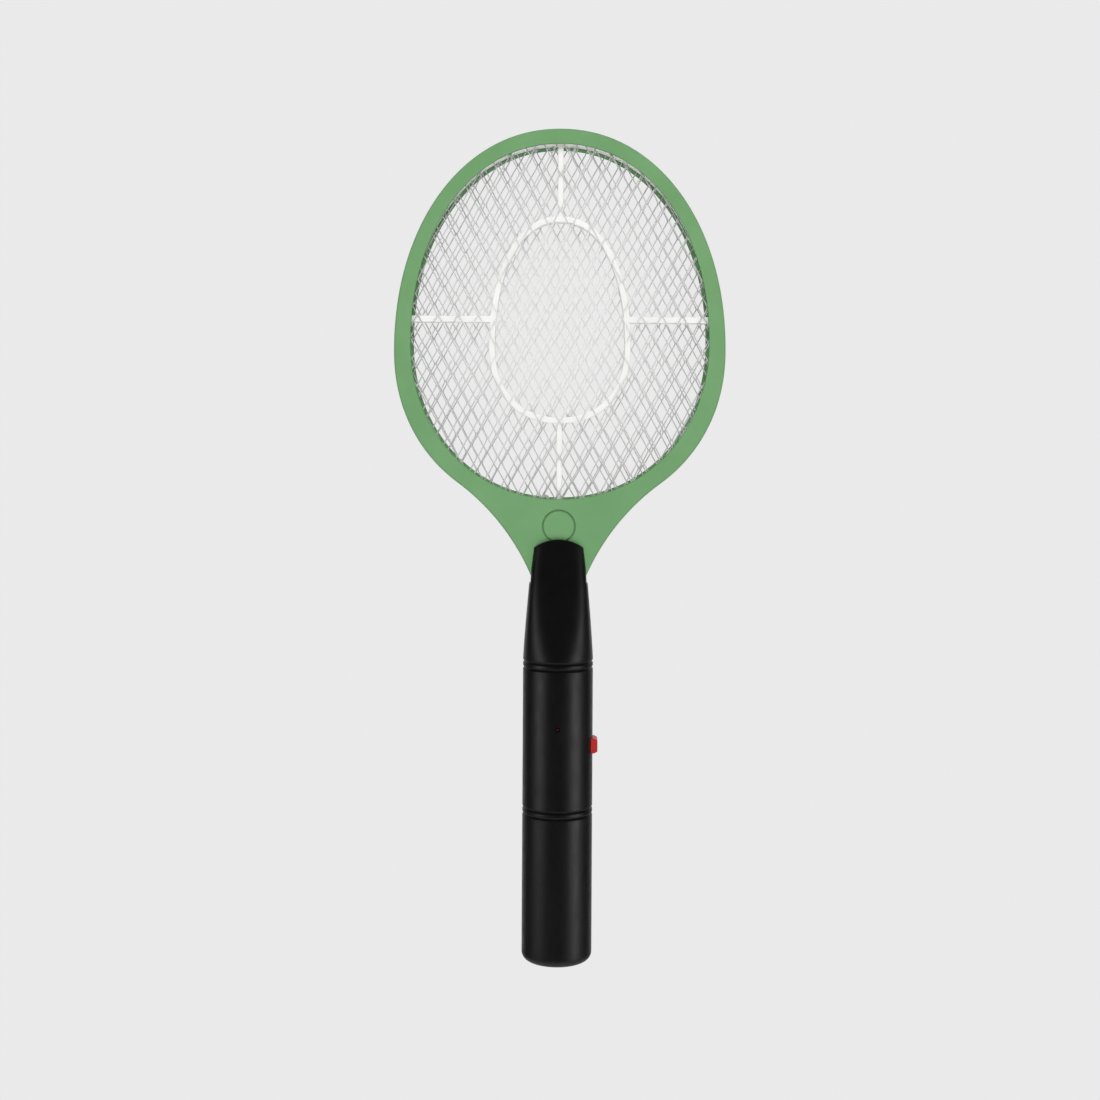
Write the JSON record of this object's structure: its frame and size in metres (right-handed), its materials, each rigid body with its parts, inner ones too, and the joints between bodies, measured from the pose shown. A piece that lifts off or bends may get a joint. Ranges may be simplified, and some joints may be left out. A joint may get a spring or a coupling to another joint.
{
  "type": "electric fly swatter",
  "caption": "Battery fly swatter with an oval three-net head in a green frame, a round black grip, a side push button, an indicator lamp and a lift-off battery cover.",
  "frame": {"origin": "on the handle's axis, at the middle of the grip, halfway between its two pairs of grooves", "axes": "+Z along the handle towards the head, -Y out of the front face, +X towards the side that has the push button"},
  "size_m": [0.173, 0.0366, 0.4387],
  "materials": {
    "green_plastic": "satin moulded ABS",
    "black_plastic": "fine-textured moulded ABS",
    "white_plastic": "semi-matte moulded polypropylene",
    "red_plastic": "semi-gloss moulded ABS",
    "dark_plastic": "matt moulded",
    "net_wire": "slit and stretched sheet, dull bright",
    "plated_contact": "nickel plated",
    "screw_steel": "zinc plated",
    "lamp_lens": "clear-tinted epoxy",
    "board_laminate": "solder-masked laminate",
    "copper_winding": "enamelled wire",
    "capacitor_coating": "dipped epoxy",
    "ceramic_coating": "dipped epoxy",
    "resistor_coating": "lacquered",
    "cell_jacket": "foil jacket",
    "red_insulation": "extruded PVC",
    "black_insulation": "extruded PVC"
  },
  "bodies": {
    "casing": {"front_frame": "green_plastic", "rear_frame": "green_plastic", "front_mesh": "net_wire", "centre_mesh": "net_wire", "rear_mesh": "net_wire", "front_spacer": "white_plastic", "rear_spacer": "white_plastic", "front_terminal": "plated_contact", "centre_terminal": "plated_contact", "rear_terminal": "plated_contact", "front_shell": "black_plastic", "rear_shell": "black_plastic", "shell_screw_1": "screw_steel", "shell_screw_2": "screw_steel", "shell_screw_3": "screw_steel", "switch_body": "plated_contact", "indicator_lamp": "lamp_lens", "circuit_board": "board_laminate", "transformer_core": "dark_plastic", "transformer_winding": "copper_winding", "main_capacitor": "capacitor_coating", "transistor": "dark_plastic", "ceramic_capacitor_1": "ceramic_coating", "ceramic_capacitor_2": "ceramic_coating", "diode_1": "dark_plastic", "diode_2": "dark_plastic", "diode_3": "dark_plastic", "resistor_1": "resistor_coating", "resistor_2": "resistor_coating", "battery_1": "cell_jacket", "battery_2": "cell_jacket", "lower_contact_plate": "plated_contact", "upper_contact_positive": "plated_contact", "upper_contact_negative": "plated_contact", "battery_spring_1": "plated_contact", "battery_spring_2": "plated_contact", "high_voltage_lead": "red_insulation", "ground_lead": "black_insulation", "ground_jumper": "black_insulation", "battery_lead_positive": "red_insulation", "battery_lead_negative": "black_insulation"},
    "button": {"power_button": "red_plastic", "switch_plunger": "dark_plastic"},
    "cover": {"battery_cover": "black_plastic"},
    "cover_screw": {"battery_cover_screw": "screw_steel"}
  },
  "joints": [
    {"name": "button_press", "type": "slide", "parent": "casing", "child": "button", "axis": [-1, 0, 0], "range_m": [0, 0.0015], "stiffness_N_per_m": 600, "springref_m": -0.0015},
    {"name": "cover_lift", "type": "slide", "parent": "casing", "child": "cover", "axis": [0, 1, 0], "range_m": [0, 0.035]},
    {"name": "cover_screw_turn", "type": "hinge", "parent": "cover", "child": "cover_screw", "pos_m": [0, 0.0154, -0.0484], "axis": [0, 1, 0], "continuous": true}
  ]
}
